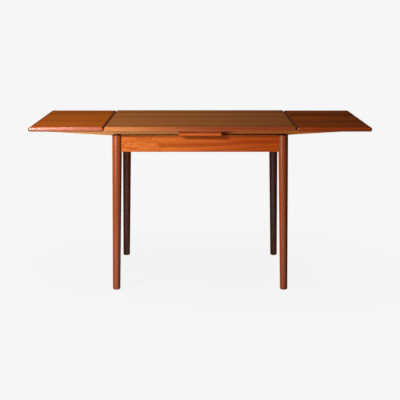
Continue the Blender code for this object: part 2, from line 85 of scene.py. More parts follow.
BODY_OF = {node: body for body, nodes in frame["record"]["behaviour"]["bodies"].items() for node in nodes}
SLIDE_AXIS = Vector(next(joint["axis"] for joint in frame["joints"] if joint["name"] == "left_leaf_slide"))
SLIDE_SLOPE = -SLIDE_AXIS.z / SLIDE_AXIS.x

# How smooth the round shapes are, and how a cutting tool stands clear of what it cuts
LEG_SIDES = 96
ROD_SIDES = 32
SCREW_SIDES = 24
EDGE_SEGMENTS = 6
END_SEGMENTS = 8
ARRIS_SEGMENTS = 3
FOOT_SEGMENTS = 10
SMOOTH_ANGLE = math.radians(35)
SHARP_ANGLE = math.radians(40)
STRAIGHT = 0.999
SLANT = math.sqrt(0.5)
TOUCH = 0.00005
WELD = 0.000001
CLEAR = 0.015

# Two screws hold a runner, and the tip of a screw is a share of its shank
SCREW_ENDS = ("inner", "outer")
SCREW_TIP = 0.15

# Boards: the way that each lipping looks, and the wood of the long lippings and of the end ones
LEFT = Vector((-1.0, 0.0, 0.0))
FRONTS = {"front": Vector((0.0, -1.0, 0.0)), "back": Vector((0.0, 1.0, 0.0))}
BOARDS = {
    "top": ({**FRONTS, "left": LEFT, "right": -LEFT}, "main_lipping", "main_end"),
    "left_leaf": ({**FRONTS, "outer": LEFT, "inner": -LEFT}, "left_lipping", "leaf_end"),
    "right_leaf": ({**FRONTS, "outer": -LEFT, "inner": LEFT}, "right_lipping", "leaf_end"),
}

# Each plank is cut from its own place in the tree
PLANK_STEP = Vector((0.613, 0.377, 0.231))

# Teak: the heart of its tree, and how often its grain varies along and across a plank, to the metre
PITH = (0.0, 0.45, 0.22)
WANDER = (1.1, 5.0, 5.0)
SWIRL = (14.0, 30.0, 30.0)
STREAKS = (2.2, 210.0, 210.0)
FIBRE = (14.0, 1300.0, 1300.0)
PORES = (55.0, 2300.0, 2300.0)
PORE_RANGE = (0.60, 0.72)

# How strongly these, the wear and the darkened board ends show, how light or dull they leave the wood, and
# how deep they are
BAND_SHARE = 0.62
FIBRE_SHARE = 0.45
FIBRE_TONE = 0.72
PORE_SHARE = 0.55
WEAR_SHARE = 0.25
WEAR_TONE = 1.3
DARK_END_SHARE = 0.85
DARK_END_DULLING = 0.8
RELIEF = 0.0002

# Light wood and steel: how often their marks vary along each axis, to the metre
BEECH_GROWTH = (1.5, 60.0, 60.0)
BEECH_FIBRE = (20.0, 1100.0, 1100.0)
BEECH_FLECKS = (120.0, 900.0, 900.0)
GROWTH_RANGE = (0.3, 0.7)
FLECK_RANGE = (0.58, 0.68)
STEEL_SCRATCHES = (4000.0, 300.0, 4000.0)
STEEL_CLOUDS = (350.0, 350.0, 350.0)
STEEL_TARNISH = 0.55

# How rough each is where nothing marks it
TEAK_ROUGHNESS = 0.46
BEECH_ROUGHNESS = 0.52
STEEL_ROUGHNESS = 0.26

# Where the front apron's grain curls, from its left end inwards
SWIRL_START = -0.30
SWIRL_END = -0.12

# Painted light and shade along the table: tints that make the wood paler on the left, where the lamps are
# near, and darker on the right, where their light falls off. Where they start, then the left one, the right
# one and where that is full
FALLOFF_START = -0.45
APRON_PAINTED_FALLOFF = ((1.20, 1.42, 1.90), (0.88, 0.56, 0.36), 0.45)
MAIN_EDGE_PAINTED_FALLOFF = ((1.60, 2.60, 3.80), (0.89, 0.66, 0.42), 0.10)
LEAF_EDGE_PAINTED_FALLOFF = ((1.00, 0.80, 1.00), (0.85, 0.52, 0.25), 0.45)
LEAF_PAINTED_FALLOFF = ((1.00, 1.00, 1.00), (0.74, 0.69, 1.10), 0.45)
BEECH_PAINTED_FALLOFF = ((0.98, 0.90, 0.86), (0.76, 0.43, 0.19), 0.30)

# Kinds of teak: the colours that each takes, how its grain and its polish look, and for some the painted
# light and shade along the table
VENEER = {"figure": 0.012, "ring_width": 0.075, "gloss": 0.38}
EDGE = {"figure": 0.010, "ring_width": 0.012, "contrast": 0.24}
RAIL = {"figure": 0.040, "ring_width": 0.014, "contrast": 0.22, "coat": 0.05, "gloss": 0.38}
LEG = {"figure": 0.010, "ring_width": 0.010, "contrast": 0.26, "coat": 0.55, "gloss": 0.25, "fade": 0.35}
TEAKS = {
    "main_veneer": ("top", {**VENEER, "contrast": 0.17, "coat": 0.02}),
    "leaf_veneer": ("leaf", {**VENEER, "contrast": 0.18, "coat": 0.0, "painted_falloff": LEAF_PAINTED_FALLOFF}),
    "main_lipping": ("lipping", {**EDGE, "coat": 0.9, "gloss": 0.26, "painted_falloff": MAIN_EDGE_PAINTED_FALLOFF}),
    "left_lipping": ("lipping", {**EDGE, "coat": 1.0, "gloss": 0.28, "painted_falloff": LEAF_EDGE_PAINTED_FALLOFF}),
    "right_lipping": ("lipping", {**EDGE, "coat": 0.2, "gloss": 0.28, "painted_falloff": LEAF_EDGE_PAINTED_FALLOFF}),
    "main_end": ("top", {**EDGE, "coat": 0.9, "gloss": 0.26}),
    "leaf_end": ("leaf", {**EDGE, "coat": 1.0, "gloss": 0.28, "painted_falloff": LEAF_PAINTED_FALLOFF}),
    "frame_teak": ("frame", RAIL),
    "board_teak": ("board", RAIL),
    "apron_teak": ("frame", {**RAIL, "contrast": 0.16, "swirl": 0.11, "painted_falloff": APRON_PAINTED_FALLOFF}),
    "leg_teak": ("leg", LEG),
}

# How level a face has to lie to be dull, and how soon the polish begins beside it
DULL_TILT = 0.95
POLISH_SPREAD = 0.35

# Refraction of the hard polish on edges and legs
POLISH_IOR = 1.9

# How soon the darkening at the end of a board is full where the wood turns that way
DARK_END_SPREAD = 2.5

# Lights of the studio, each with its settings in the sidebar
LIGHTS = ("key", "top", "low", "strip", "back")

# Disc of the floor, and from where to where a reflected ray comes to look behind the table
FLOOR_RADIUS = 30.0
FLOOR_SIDES = 96
FLOOR_BEHIND = (0.0, 1.5)
BACKDROP_BEHIND = (-0.1, 0.4)


# Settings in the sidebar
def length(name, description, default):
    return bpy.props.FloatProperty(name=name, description=description, default=default, min=0.0,
                                   precision=4, subtype="DISTANCE", unit="LENGTH")


def share(name, description, default):
    return bpy.props.FloatProperty(name=name, description=description, default=default, min=0.0,
                                   max=1.0, subtype="FACTOR")


def colour(name, description, default):
    return bpy.props.FloatVectorProperty(name=name, description=description, default=default, size=3,
                                         min=0.0, max=1.0, subtype="COLOR")


def place(name, description, default):
    return bpy.props.FloatVectorProperty(name=name, description=description, default=default, size=3,
                                         subtype="XYZ", unit="LENGTH")


def power(name, description, default):
    return bpy.props.FloatProperty(name=name, description=description, default=default, min=0.0,
                                   subtype="POWER", unit="POWER")


class TableSizes(bpy.types.PropertyGroup):
    """Sizes of the joinery that the frame's boxes don't give."""

    fit: length("Fit", "Gap between pieces that touch", 0.0003)
    edge_radius: length("Edge radius", "Rounding of the edges of the main top", 0.004)
    leaf_edge_radius: length("Leaf edge radius", "Rounding of the edges of the leaves", 0.009)
    end_radius: length("End radius", "Rounding under the ends of the main top", 0.008)
    mitre_gap: length("Mitre gap", "Half of the glue line at a mitre", 0.000225)
    arris: length("Arris", "Softened edges of rails, blocks and the centre board", 0.0015)
    fine_arris: length("Fine arris", "Softened edges of runners and panels", 0.0006)
    leg_top_diameter: length("Leg top", "Diameter of a leg at the top of the frame", 0.043)
    leg_foot_diameter: length("Leg foot", "Diameter of a leg at the floor", 0.033)
    foot_round: length("Foot round", "Rounding of a foot", 0.007)
    leg_top_round: length("Leg top round", "Rounding of the upper end of a leg", 0.0015)
    tenon_thickness: length("Tenon thickness", "Thickness of the rails' tenons", 0.008)
    tenon_shoulder: length("Tenon shoulder", "Shoulder above and below a tenon", 0.010)
    tenon_root: length("Tenon root", "How far a tenon starts inside its rail", 0.012)
    runner_depth: length("Runner depth", "Height of the sloping part of a runner", 0.034)
    board_groove: length("Board groove", "How far the runners' grooves rise into the centre board", 0.012)
    notch_side: length("Notch side", "Room beside a runner in an end rail", 0.0005)
    pin_clearance: length("Pin clearance", "Room round a guide pin in the centre board", 0.0006)
    pin_chamfer: length("Pin chamfer", "Rounding at the free end of a pin or peg", 0.0015)
    screw_head: length("Screw head", "Diameter of a screw's head", 0.008)
    screw_shank: length("Screw shank", "Diameter of a screw's shank", 0.004)
    screw_head_height: length("Screw head height", "Height of the countersunk head", 0.0025)
    screw_point: length("Screw point", "Length of a screw's tapered point", 0.004)
    slot_width: length("Slot width", "Width of the slot in a screw's head", 0.001)
    slot_depth: length("Slot depth", "Depth of the slot in a screw's head", 0.0011)


class TableColours(bpy.types.PropertyGroup):
    """Colours of the woods and the steel, as linear light."""

    top_light: colour("Top, light", "Light stripes of the main top", (0.252, 0.086, 0.0245))
    top_dark: colour("Top, dark", "Dark stripes of the main top", (0.125, 0.041, 0.0115))
    leaf_light: colour("Leaf, light", "Light stripes of the leaves, which fade less", (0.288, 0.068, 0.0085))
    leaf_dark: colour("Leaf, dark", "Dark stripes of the leaves", (0.136, 0.031, 0.004))
    lipping_light: colour("Lipping, light", "Light grain of the edges", (0.280, 0.060, 0.010))
    lipping_dark: colour("Lipping, dark", "Dark grain of the edges", (0.172, 0.031, 0.0045))
    # A darker colour where the wood looks towards an end of its board
    stain: colour("Stain", "Oil-darkened ends of the boards", (0.050, 0.011, 0.004))
    board_light: colour("Board, light", "Light grain of the centre board", (0.480, 0.104, 0.024))
    board_dark: colour("Board, dark", "Dark grain of the centre board", (0.290, 0.045, 0.007))
    # Painted light: a near-white colour for the aprons' upward faces, which lie in the shade under the top
    bare: colour("Bare edge", "Unpolished upper edge of the aprons", (0.900, 0.460, 0.160))
    frame_light: colour("Frame, light", "Light grain of the rails", (0.372, 0.087, 0.0135))
    frame_dark: colour("Frame, dark", "Dark grain of the rails", (0.223, 0.037, 0.0037))
    leg_light: colour("Leg, light", "Light grain of the legs", (0.228, 0.048, 0.0095))
    leg_dark: colour("Leg, dark", "Dark grain of the legs", (0.137, 0.0225, 0.0035))
    beech_light: colour("Beech, light", "Ground of the light wood", (0.920, 0.470, 0.160))
    beech_dark: colour("Beech, dark", "Flecks of the light wood", (0.800, 0.360, 0.110))
    pore: colour("Pores", "Open pores of the teak", (0.040, 0.012, 0.004))
    steel: colour("Steel", "Screws", (0.560, 0.550, 0.530))


class TableStudio(bpy.types.PropertyGroup):
    """Camera, light and floor."""

    camera_place: place("Camera", "Where the camera stands", (-0.00068, -5.43473, 1.25316))
    camera_pitch: bpy.props.FloatProperty(name="Pitch", description="How far the camera looks down",
                                          default=math.radians(9.514), subtype="ANGLE", unit="ROTATION")
    focal_pixels: bpy.props.FloatProperty(name="Focal length", default=1167.57, min=1.0, subtype="PIXEL",
                                          description="Focal length in pixels of the square picture")
    key_place: place("Key light", "Where the key light stands", (-1.15, -1.45, 1.32))
    key_aim: place("Key aim", "What the key light points at", (0.0, -0.3, 0.64))
    key_width: length("Key width", "Width of the key light", 0.30)
    key_height: length("Key height", "Height of the key light", 0.26)
    key_power: power("Key power", "Power of the key light", 58.0)
    top_place: place("Top light", "Where the light above the table hangs", (-0.78, 0.12, 2.10))
    top_aim: place("Top aim", "What the light above the table points at", (0.0, 0.0, 0.73))
    top_width: length("Top width", "Width of the light above the table", 0.42)
    top_height: length("Top height", "Depth of the light above the table", 0.30)
    top_power: power("Top power", "Power of the light above the table", 20.5)
    low_place: place("Low light", "Where the low light far in front stands", (-1.2, -3.2, 0.70))
    low_aim: place("Low aim", "What the low light points at", (0.0, -0.35, 0.70))
    low_width: length("Low width", "Width of the low light", 1.2)
    low_height: length("Low height", "Height of the low light", 0.3)
    low_power: power("Low power", "Power of the low light", 46.0)
    strip_place: place("Strip light", "Where the low strip light stands", (-1.11, -1.51, 0.62))
    strip_aim: place("Strip aim", "What the strip light points at", (0.0, -0.35, 0.62))
    strip_width: length("Strip width", "Width of the strip light", 0.30)
    strip_height: length("Strip height", "Height of the strip light", 0.50)
    strip_power: power("Strip power", "Power of the strip light", 5.0)
    back_place: place("Back light", "Where the light behind the table stands", (1.52, 3.26, 1.0))
    back_aim: place("Back aim", "What the light behind the table points at", (0.0, 0.35, 0.60))
    back_width: length("Back width", "Width of the light behind the table", 1.2)
    back_height: length("Back height", "Height of the light behind the table", 1.2)
    back_power: power("Back power", "Power of the light behind the table", 90.0)
    ambient: share("Ambient", "Light from all round", 0.03)
    backdrop: share("Backdrop", "Brightness of the pale background", 0.9225)
    floor_colour: colour("Floor", "Colour of the floor where it lights the table", (0.45, 0.44, 0.43))
    floor_shade: share("Floor shade", "How much of the floor's own shadow shows", 0.06)
    floor_reach: length("Floor reach", "How far round the table the shadow shows", 1.6)


# Modelling steps that the operators share
def activate(piece):
    """Select one piece alone, in object mode."""
    if bpy.context.mode != "OBJECT":
        bpy.ops.object.mode_set(mode="OBJECT")
    bpy.ops.object.select_all(action="DESELECT")
    piece.select_set(True)
    bpy.context.view_layer.objects.active = piece


def keep_place(name):
    """Name the object that was just added and put its place in its mesh."""
    piece = bpy.context.object
    piece.name = name
    piece.data.name = name
    bpy.ops.object.transform_apply(location=True, rotation=True, scale=True)
    return piece


def block(name, low, high):
    """Cube primitive stretched between two corners."""
    low = Vector(low)
    high = Vector(high)
    bpy.ops.object.select_all(action="DESELECT")
    bpy.ops.mesh.primitive_cube_add(size=1.0, location=(low + high) / 2, scale=high - low)
    return keep_place(name)


def rod(name, start, end, radius, sides=ROD_SIDES):
    """Cylinder primitive between two points."""
    start = Vector(start)
    end = Vector(end)
    axis = end - start
    turn = axis.to_track_quat("Z", "Y").to_euler()
    bpy.ops.object.select_all(action="DESELECT")
    bpy.ops.mesh.primitive_cylinder_add(vertices=sides, radius=radius, depth=axis.length,
                                        location=(start + end) / 2, rotation=turn)
    return keep_place(name)


def copy_of(piece, name):
    """Copy of a piece, with a mesh of its own."""
    activate(piece)
    bpy.ops.object.duplicate(linked=False)
    twin = bpy.context.object
    twin.name = name
    twin.data.name = name
    return twin


def mirrored(piece, name, x_side, y_side, shift=(0.0, 0.0, 0.0)):
    """Copy of a piece in another quarter of the table."""
    twin = copy_of(piece, name)
    twin.scale = (x_side, y_side, 1.0)
    twin.location = shift
    bpy.ops.object.transform_apply(location=True, rotation=True, scale=True)
    bpy.ops.object.mode_set(mode="EDIT")
    bpy.ops.mesh.select_all(action="SELECT")
    bpy.ops.mesh.remove_doubles(threshold=WELD)
    bpy.ops.mesh.normals_make_consistent(inside=False)
    bpy.ops.object.mode_set(mode="OBJECT")
    return twin


def throw_away(*pieces):
    for piece in pieces:
        bpy.data.objects.remove(piece)


def combine(piece, tool, operation="DIFFERENCE"):
    """Cut a tool's shape out of a piece, or join it on with UNION, and throw the tool away."""
    activate(piece)
    bpy.ops.object.modifier_add(type="BOOLEAN")
    modifier = piece.modifiers[-1]
    modifier.operation = operation
    modifier.solver = "EXACT"
    modifier.object = tool
    bpy.ops.object.modifier_apply(modifier=modifier.name)
    throw_away(tool)


def bore(piece, start, end, radius, sides=ROD_SIDES):
    """Drill a round hole between two points."""
    combine(piece, rod(piece.name + "_drill", start, end, radius, sides))


def centre_of(node):
    """Middle of a node's box."""
    low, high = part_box(node)
    return (low + high) / 2


def axis_of(node, *heights):
    """Points on the upright axis of a node, at some heights."""
    centre = centre_of(node)
    return [Vector((centre.x, centre.y, height)) for height in heights]


def radius_of(node):
    """Radius of an upright round node."""
    low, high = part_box(node)
    return (high.x - low.x) / 2


def upright_rod(name, node):
    """Plain rod as large as an upright round node."""
    low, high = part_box(node)
    return rod(name, *axis_of(node, low.z, high.z), radius_of(node))


def edit(piece):
    activate(piece)
    bpy.ops.object.mode_set(mode="EDIT")


def leave():
    bpy.ops.object.mode_set(mode="OBJECT")


def pick(piece, kind, test):
    """Select the points, edges or faces of the piece in edit mode that pass a test."""
    bpy.ops.mesh.select_mode(type=kind)
    bpy.ops.mesh.select_all(action="DESELECT")
    shape = bmesh.from_edit_mesh(piece.data)
    members = {"VERT": shape.verts, "EDGE": shape.edges, "FACE": shape.faces}[kind]
    chosen = [member for member in members if test(member)]
    if not chosen:
        raise RuntimeError(f"{piece.name}: nothing to select")
    for member in chosen:
        member.select_set(True)
    shape.select_flush_mode()
    bmesh.update_edit_mesh(piece.data)


def middle(edge):
    return (edge.verts[0].co + edge.verts[1].co) / 2


def runs_along(edge, axis):
    """True for an edge that runs straight along X, Y or Z."""
    direction = (edge.verts[1].co - edge.verts[0].co).normalized()
    return abs(direction[axis]) > STRAIGHT


def soften(radius, segments):
    """Round the selected edges."""
    bpy.ops.mesh.bevel(offset=radius, segments=segments, profile=0.5, affect="EDGES")


def soften_sharp(piece, radius, segments):
    """Round every sharp edge of a piece."""
    edit(piece)
    bpy.ops.mesh.select_mode(type="EDGE")
    bpy.ops.mesh.select_all(action="DESELECT")
    bpy.ops.mesh.edges_select_sharp(sharpness=SHARP_ANGLE)
    soften(radius, segments)
    leave()


def slice_off(piece, point, outward):
    """Saw a piece at a plane, drop what lies outward of it and close the cut."""
    edit(piece)
    bpy.ops.mesh.select_all(action="SELECT")
    bpy.ops.mesh.bisect(plane_co=point, plane_no=outward, use_fill=True, clear_outer=True)
    leave()


def shift_points(piece, test, offset):
    """Move the points of the piece in edit mode that pass a test."""
    pick(piece, "VERT", test)
    bpy.ops.transform.translate(value=offset)


def aim(piece, point, direction):
    """Turn a piece made at the origin along -Z to another direction, and put it at a point."""
    activate(piece)
    turn = DOWN.rotation_difference(direction)
    piece.rotation_euler = turn.to_euler()
    piece.location = point
    bpy.ops.object.transform_apply(location=True, rotation=True, scale=True)


# Shader maths and finishes
class Wire:
    """Output socket of a shader node. Arithmetic on it adds Math nodes to its tree."""

    def __init__(self, tree, socket=None):
        self.tree = tree
        self.socket = socket

    def node(self, kind, settings=None, sockets=None, output=0):
        """Add a node: its settings come first, then the values or links of its sockets."""
        made = self.tree.nodes.new(kind)
        for name, value in (settings or {}).items():
            setattr(made, name, value)
        for name, value in (sockets or {}).items():
            if isinstance(value, Wire):
                self.tree.links.new(value.socket, made.inputs[name])
            else:
                made.inputs[name].default_value = value
        return Wire(self.tree, made.outputs[output])

    def math(self, operation, first, second):
        return self.node("ShaderNodeMath", {"operation": operation}, {0: first, 1: second})

    def __add__(self, other):
        return self.math("ADD", self, other)

    __radd__ = __add__

    def __sub__(self, other):
        return self.math("SUBTRACT", self, other)

    def __rsub__(self, other):
        return self.math("SUBTRACT", other, self)

    def __mul__(self, other):
        return self.math("MULTIPLY", self, other)

    __rmul__ = __mul__


def vector(wire, operation, first, second, output=0):
    return wire.node("ShaderNodeVectorMath", {"operation": operation}, {0: first, 1: second}, output)


def scaled(wire, first, factor):
    """Vector times a number that changes over the surface."""
    return wire.node("ShaderNodeVectorMath", {"operation": "SCALE"}, {0: first, "Scale": factor})


def stretched_noise(wire, point, scale, detail, output=0):
    """Noise with its own scale along each axis, in features to the metre."""
    return wire.node("ShaderNodeTexNoise", {}, {
        "Vector": vector(wire, "MULTIPLY", point, scale), "Scale": 1.0, "Detail": detail}, output)


def between(wire, value, low, high):
    """Value stretched so that low becomes 0 and high becomes 1, with soft ends."""
    return wire.node("ShaderNodeMapRange", {"interpolation_type": "SMOOTHSTEP"}, {
        "Value": value, "From Min": low, "From Max": high})


def blended(wire, factor, first, second, kind="MIX"):
    """Mix of two colours."""
    settings = {"data_type": "RGBA", "blend_type": kind}
    return wire.node("ShaderNodeMix", settings, {0: factor, 6: first, 7: second}, 2)


def opaque(values):
    return (*values, 1.0)


def grey(value):
    return (value, value, value, 1.0)


def new_finish(name):
    """New material with the shader that it ends in."""
    material = bpy.data.materials.new(name)
    material.use_nodes = True
    shader = material.node_tree.nodes["Principled BSDF"]
    return material, shader, Wire(material.node_tree)


def link(material, wire, socket):
    material.node_tree.links.new(wire.socket, socket)


def stored(wire, name, output="Fac"):
    """Value that a piece's mesh carries, or 0 where it carries none."""
    return wire.node("ShaderNodeAttribute", {"attribute_name": name}, {}, output)


def wandering(wire, point, scale, reach):
    """How far the grain strays sideways at a point."""
    stray = vector(wire, "SUBTRACT", stretched_noise(wire, point, scale, 2.0, "Color"), (0.5, 0.5, 0.5))
    return vector(wire, "MULTIPLY", stray, (0.0, reach, reach))


def drifted(wire, wood, left, right, stop):
    """Wood with painted light and shade along the table: its tint changes from the left to where the change
    stops.
    """
    spot = wire.node("ShaderNodeTexCoord", {}, {}, "Object")
    across = wire.node("ShaderNodeSeparateXYZ", {}, {"Vector": spot}, "X")
    tint = blended(wire, between(wire, across, FALLOFF_START, stop), opaque(left), opaque(right))
    return blended(wire, 1.0, wood, tint, "MULTIPLY")


def teak(name, light, dark, figure, ring_width, contrast, coat, gloss, swirl=0.0, painted_falloff=None, fade=None):
    """Oiled teak: bands of growth, fine streaks along the grain and open pores."""
    tones = bpy.context.scene.table_colours
    material, shader, wire = new_finish(name)
    point = stored(wire, "grain", "Vector")
    along = wire.node("ShaderNodeSeparateXYZ", {}, {"Vector": point}, "X")
    bent = vector(wire, "ADD", point, wandering(wire, point, WANDER, figure))
    if swirl:
        near = between(wire, along, SWIRL_END, SWIRL_START)
        bent = vector(wire, "ADD", bent, scaled(wire, wandering(wire, point, SWIRL, swirl), near))
    across = vector(wire, "MULTIPLY", vector(wire, "SUBTRACT", bent, PITH), (0.0, 1.0, 1.0))
    ring = vector(wire, "LENGTH", across, (0.0, 0.0, 0.0), "Value")
    bands = wire.node("ShaderNodeTexNoise", {"noise_dimensions": "1D"}, {
        "W": ring, "Scale": 1.0 / ring_width, "Detail": 4.0, "Roughness": 0.62})
    streaks = stretched_noise(wire, bent, STREAKS, 3.0)
    fibre = stretched_noise(wire, bent, FIBRE, 2.0)
    pores = between(wire, stretched_noise(wire, bent, PORES, 1.0), *PORE_RANGE)
    tone = between(wire, bands * BAND_SHARE + streaks * (1.0 - BAND_SHARE), 0.5 - contrast, 0.5 + contrast)
    wood = blended(wire, tone, opaque(dark), opaque(light))
    # Painted light and shade: paler on the left near the lamps, darker on the right where their light falls
    # off
    if painted_falloff:
        wood = drifted(wire, wood, *painted_falloff)
    wood = blended(wire, fibre * FIBRE_SHARE, wood, opaque(FIBRE_TONE * Vector(dark)))
    wood = blended(wire, pores * PORE_SHARE, wood, opaque(tones.pore))
    rubbed = stored(wire, "wear") * (0.5 + streaks) * WEAR_SHARE
    wood = blended(wire, rubbed, wood, opaque(WEAR_TONE * Vector(tones.lipping_light)))
    # Darker, and less polished, where the wood looks towards an end of its board
    darkened = stored(wire, "stain")
    wood = blended(wire, darkened * DARK_END_SHARE, wood, opaque(tones.stain))
    # Painted light on the upward faces of the aprons, in the shade under the top
    wood = blended(wire, stored(wire, "bare"), wood, opaque(tones.bare))
    link(material, wood, shader.inputs["Base Color"])
    link(material, TEAK_ROUGHNESS + pores * 0.15 + (fibre - 0.5) * 0.12, shader.inputs["Roughness"])
    relief = {"Strength": 0.3, "Distance": RELIEF, "Height": fibre * 0.4 - pores}
    link(material, wire.node("ShaderNodeBump", {}, relief), shader.inputs["Normal"])
    shader.inputs["Specular IOR Level"].default_value = 0.0
    if coat:
        polished = stored(wire, "polish")
        glancing = wire.node("ShaderNodeLayerWeight", {}, {"Blend": 0.5}, "Facing")
        if fade:
            polished = polished * between(wire, glancing, fade, 0.0)
        kept = (1.0 - glancing * glancing) * (1.0 - darkened * DARK_END_DULLING)
        link(material, polished * coat * kept, shader.inputs["Coat Weight"])
    shader.inputs["Coat Roughness"].default_value = gloss
    shader.inputs["Coat IOR"].default_value = POLISH_IOR
    return material


def beech(name, light, dark, painted_falloff):
    """Plain light wood with short darker flecks along its grain."""
    material, shader, wire = new_finish(name)
    point = stored(wire, "grain", "Vector")
    growth = stretched_noise(wire, point, BEECH_GROWTH, 3.0)
    fibre = stretched_noise(wire, point, BEECH_FIBRE, 2.0)
    flecks = between(wire, stretched_noise(wire, point, BEECH_FLECKS, 1.0), *FLECK_RANGE)
    tone = between(wire, growth, *GROWTH_RANGE) * 0.5 + fibre * 0.2
    wood = blended(wire, tone, opaque(light), opaque(dark))
    # Painted light and shade along the table: paler on the left, darker on the right
    wood = drifted(wire, blended(wire, flecks * 0.45, wood, opaque(dark)), *painted_falloff)
    link(material, wood, shader.inputs["Base Color"])
    link(material, BEECH_ROUGHNESS + (fibre - 0.5) * 0.16, shader.inputs["Roughness"])
    relief = {"Strength": 0.25, "Distance": RELIEF, "Height": fibre - flecks * 0.5}
    link(material, wire.node("ShaderNodeBump", {}, relief), shader.inputs["Normal"])
    shader.inputs["Specular IOR Level"].default_value = 0.2
    return material


def bright_steel(name, metal):
    """Bright drawn steel with fine scratches."""
    material, shader, wire = new_finish(name)
    point = wire.node("ShaderNodeTexCoord", {}, {}, "Object")
    scratches = stretched_noise(wire, point, STEEL_SCRATCHES, 2.0)
    dull = stretched_noise(wire, point, STEEL_CLOUDS, 3.0)
    tone = blended(wire, dull * 0.5, opaque(metal), opaque(STEEL_TARNISH * Vector(metal)))
    link(material, tone, shader.inputs["Base Color"])
    link(material, STEEL_ROUGHNESS + scratches * 0.22, shader.inputs["Roughness"])
    shader.inputs["Metallic"].default_value = 1.0
    return material


def finish_for(kind):
    """Material of a kind of wood or metal, made the first time that it is asked for."""
    name = kind + "_finish"
    made = bpy.data.materials.get(name)
    if made:
        return made
    tones = bpy.context.scene.table_colours
    if kind == "runner_beech":
        return beech(name, tones.beech_light, tones.beech_dark, BEECH_PAINTED_FALLOFF)
    if kind == "screw_steel":
        return bright_steel(name, tones.steel)
    wood, settings = TEAKS[kind]
    return teak(name, getattr(tones, wood + "_light"), getattr(tones, wood + "_dark"), **settings)


# Values that the surfaces carry, and the way of a piece to its place in the frame
GRAIN_TURNS = {
    X_AXIS: Matrix.Identity(3),
    Y_AXIS: Matrix(((0.0, 1.0, 0.0), (-1.0, 0.0, 0.0), (0.0, 0.0, 1.0))),
    Z_AXIS: Matrix(((0.0, 0.0, 1.0), (0.0, 1.0, 0.0), (-1.0, 0.0, 0.0))),
}


def lay_grain(piece, along, plank):
    """Store where each point lies in its plank, with the first axis along the grain."""
    turn = GRAIN_TURNS[along]
    layer = piece.data.attributes.new("grain", "FLOAT_VECTOR", "POINT")
    for point, value in zip(piece.data.vertices, layer.data):
        value.vector = turn @ point.co + PLANK_STEP * plank


def mark(piece, name, rate):
    """Store a share from 0 to 1 at each corner of each face, from the way that the surface looks there."""
    layer = piece.data.attributes.new(name, "FLOAT", "CORNER")
    for normal, value in zip(piece.data.corner_normals, layer.data):
        value.value = min(1.0, max(0.0, rate(normal.vector)))


def rubbing(normal):
    """Most on a rounded edge, where hands and cloths rub the wood, and none on a flat face."""
    return (1.0 - max(abs(component) for component in normal)) / (1.0 - SLANT)


def stain(normal, outward):
    """Full where the wood looks to an end of its board, and none on the top and the long sides."""
    return DARK_END_SPREAD * normal.dot(outward)


def bareness(normal):
    """Full where the wood looks up: painted light on the aprons' upper faces, which lie in the shade under
    the top.
    """
    return normal.z


def polish(normal):
    """Full all over, except where the wood lies flat and its oil has gone dull."""
    return (DULL_TILT - normal.z) / POLISH_SPREAD


def settle(piece, node, kind, along, plank=0, worn=True):
    """Give a piece its finish and hand it to the frame in the place of a node."""
    activate(piece)
    bpy.ops.object.shade_smooth_by_angle(angle=SMOOTH_ANGLE)
    bpy.ops.object.modifier_add(type="WEIGHTED_NORMAL")
    piece.modifiers[-1].keep_sharp = True
    bpy.ops.object.modifier_apply(modifier=piece.modifiers[-1].name)
    piece.data.materials.clear()
    piece.data.materials.append(finish_for(kind))
    lay_grain(piece, along, plank)
    mark(piece, "polish", polish)
    if worn:
        mark(piece, "wear", rubbing)
    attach(piece, BODY_OF[node])
    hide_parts(node)
    bpy.ops.object.select_all(action="DESELECT")


def finished(node):
    """Name of the piece that stands for a node."""
    return node + "_finished"


def deal(master, places, kind, along, first=0, step=1, worn=True):
    """Settle a mirrored copy of a master in the place of each node, and throw the master away."""
    pieces = []
    for index, (node, sides) in enumerate(places.items()):
        piece = mirrored(master, finished(node), *sides)
        settle(piece, node, kind, along, first + step * index, worn)
        pieces.append(piece)
    throw_away(master)
    return pieces


def corner_places(start):
    """Nodes of a piece made for the back right corner, with the sides that its copies go to."""
    return {f"{start}_{y_name}_{x_name}": (X_SIDES[x_name], Y_SIDES[y_name]) for x_name, y_name in CORNERS}


def row_places(form):
    """Nodes of a piece made for the front, with the sides that its copies go to."""
    return {form.format(y_name): (1, -y_side) for y_name, y_side in Y_SIDES.items()}


def leaf_places(kind):
    """Nodes of a piece made for the back of the right leaf, with sides and the shift to each leaf's lane."""
    lane = centre_of(f"right_leaf_{kind}_back").y
    places = {}
    for x_name, x_side in X_SIDES.items():
        for y_name, y_side in Y_SIDES.items():
            node = f"{x_name}_leaf_{kind}_{y_name}"
            places[node] = x_side, y_side, (0.0, centre_of(node).y - y_side * lane, 0.0)
    return places


# Joinery that several pieces share
def leg_place(sizes):
    """Axis of the back right leg at the top of the frame and at the floor."""
    low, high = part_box("leg_back_right")
    top = low.to_2d() + Vector((sizes.leg_top_diameter, sizes.leg_top_diameter)) / 2
    foot = high.to_2d() - Vector((sizes.leg_foot_diameter, sizes.leg_foot_diameter)) / 2
    return top.to_3d() + Vector((0.0, 0.0, high.z)), foot.to_3d()


def leg_taper(name, sizes, grow=0.0):
    """Plain tapered and leaning shape of the back right leg."""
    top, foot = leg_place(sizes)
    foot_radius = sizes.leg_foot_diameter / 2 + grow
    top_radius = sizes.leg_top_diameter / 2 + grow
    leg = rod(name, foot, (foot.x, foot.y, top.z), foot_radius, LEG_SIDES)
    edit(leg)
    lean = Vector((top.x - foot.x, top.y - foot.y, 0.0))
    shift_points(leg, lambda point: point.co.z > top.z / 2, lean)
    widen = top_radius / foot_radius
    bpy.ops.transform.resize(value=(widen, widen, 1.0), center_override=top)
    leave()
    return leg


